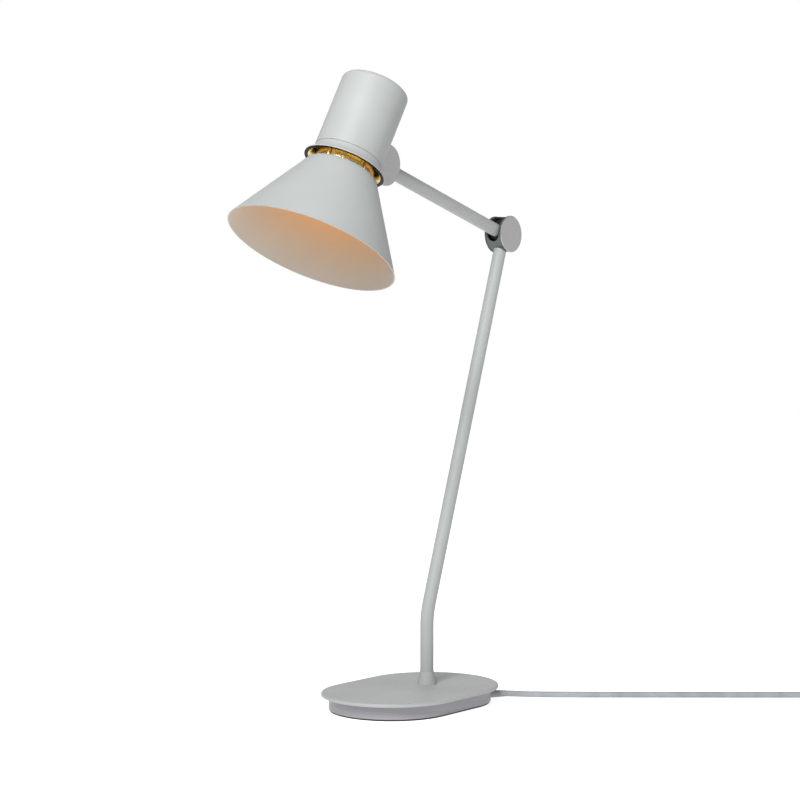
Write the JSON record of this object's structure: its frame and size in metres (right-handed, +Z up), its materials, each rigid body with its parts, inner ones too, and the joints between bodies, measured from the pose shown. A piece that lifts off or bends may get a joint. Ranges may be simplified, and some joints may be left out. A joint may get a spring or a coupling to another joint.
{
  "type": "architect desk lamp",
  "caption": "Task lamp with a weighted oval base, a cranked stem, an arm on friction joints and a conical shade hung below a capped, flared collar.",
  "frame": {"origin": "centre of the base's bottom face, on the desk", "axes": "+Z up, -Y the way the head points over the desk, X across the lamp and along its elbow's axle"},
  "size_m": [0.4945, 0.6144, 0.5896],
  "materials": {
    "paint": "matte pale grey powder coat",
    "skirt_metal": "brushed, grey-mauve",
    "joint_metal": "brushed",
    "steel": "plain zinc-plated",
    "dark_steel": "blackened",
    "iron": "raw casting",
    "rubber": "black pad",
    "cord": "grey flexible sheath",
    "plastic": "grey moulding",
    "black_plastic": "black moulding",
    "reflector": "polished warm reflector",
    "shade_metal": "matte pale grey outside, satin off-white inside",
    "brass": "plain brass",
    "ceramic": "glazed insulator",
    "bulb_glass": "frosted",
    "nickel": "nickel-plated"
  },
  "bodies": {
    "base": {"base_plate": "paint", "base_skirt": "skirt_metal", "base_pad": "rubber", "base_cover": "steel", "base_weight": "iron", "base_screws": "steel", "stem_boss": "paint", "stem_tube": "paint", "stem_nipple": "steel", "stem_washer": "steel", "stem_nut": "steel", "terminal_block": "black_plastic", "terminal_screws": "brass", "cord_clamp": "black_plastic", "clamp_screws": "steel", "inner_lead": "cord", "stem_wire": "black_plastic", "elbow_barrel": "joint_metal", "elbow_disc_left": "joint_metal", "elbow_disc_right": "joint_metal", "elbow_axle": "steel", "cord_gland": "cord", "mains_cord": "cord", "cord_coil": "cord", "cord_tie": "black_plastic", "plug_lead": "cord", "mains_plug": "plastic", "plug_pins": "nickel"},
    "arm": {"arm_tube": "paint", "arm_wire": "black_plastic", "elbow_hub": "dark_steel", "elbow_washers": "black_plastic", "head_hub": "dark_steel", "head_washers": "black_plastic"},
    "head": {"head_collar": "paint", "head_disc_left": "joint_metal", "head_disc_right": "joint_metal", "head_axle": "steel", "reflector_ring": "reflector", "halo_ring": "reflector", "shade_posts": "steel", "shade_cone": "shade_metal", "head_cap": "paint", "holder_bracket": "steel", "bracket_screws": "steel", "lamp_holder": "black_plastic", "holder_sleeve": "brass", "holder_insulator": "ceramic", "holder_contact": "brass", "holder_nipple": "steel", "holder_nut": "steel", "bulb_glass": "bulb_glass", "bulb_base": "nickel", "bulb_contact": "brass", "switch_body": "black_plastic", "switch_nut": "nickel"},
    "button": {"switch_button": "black_plastic"}
  },
  "joints": [
    {"name": "elbow_hinge", "type": "hinge", "parent": "base", "child": "arm", "pos_m": [0, 0.15, 0.451], "axis": [-1, 0, 0], "range_deg": [-18, 60]},
    {"name": "head_hinge", "type": "hinge", "parent": "arm", "child": "head", "pos_m": [0, -0.04793, 0.50663], "axis": [-0.9965, 0.0226, 0.0806], "range_deg": [-45, 50]},
    {"name": "switch_press", "type": "slide", "parent": "head", "child": "button", "axis": [-0.0822, -0.4437, -0.8924], "range_m": [0, 0.002], "stiffness_N_per_m": 600}
  ]
}
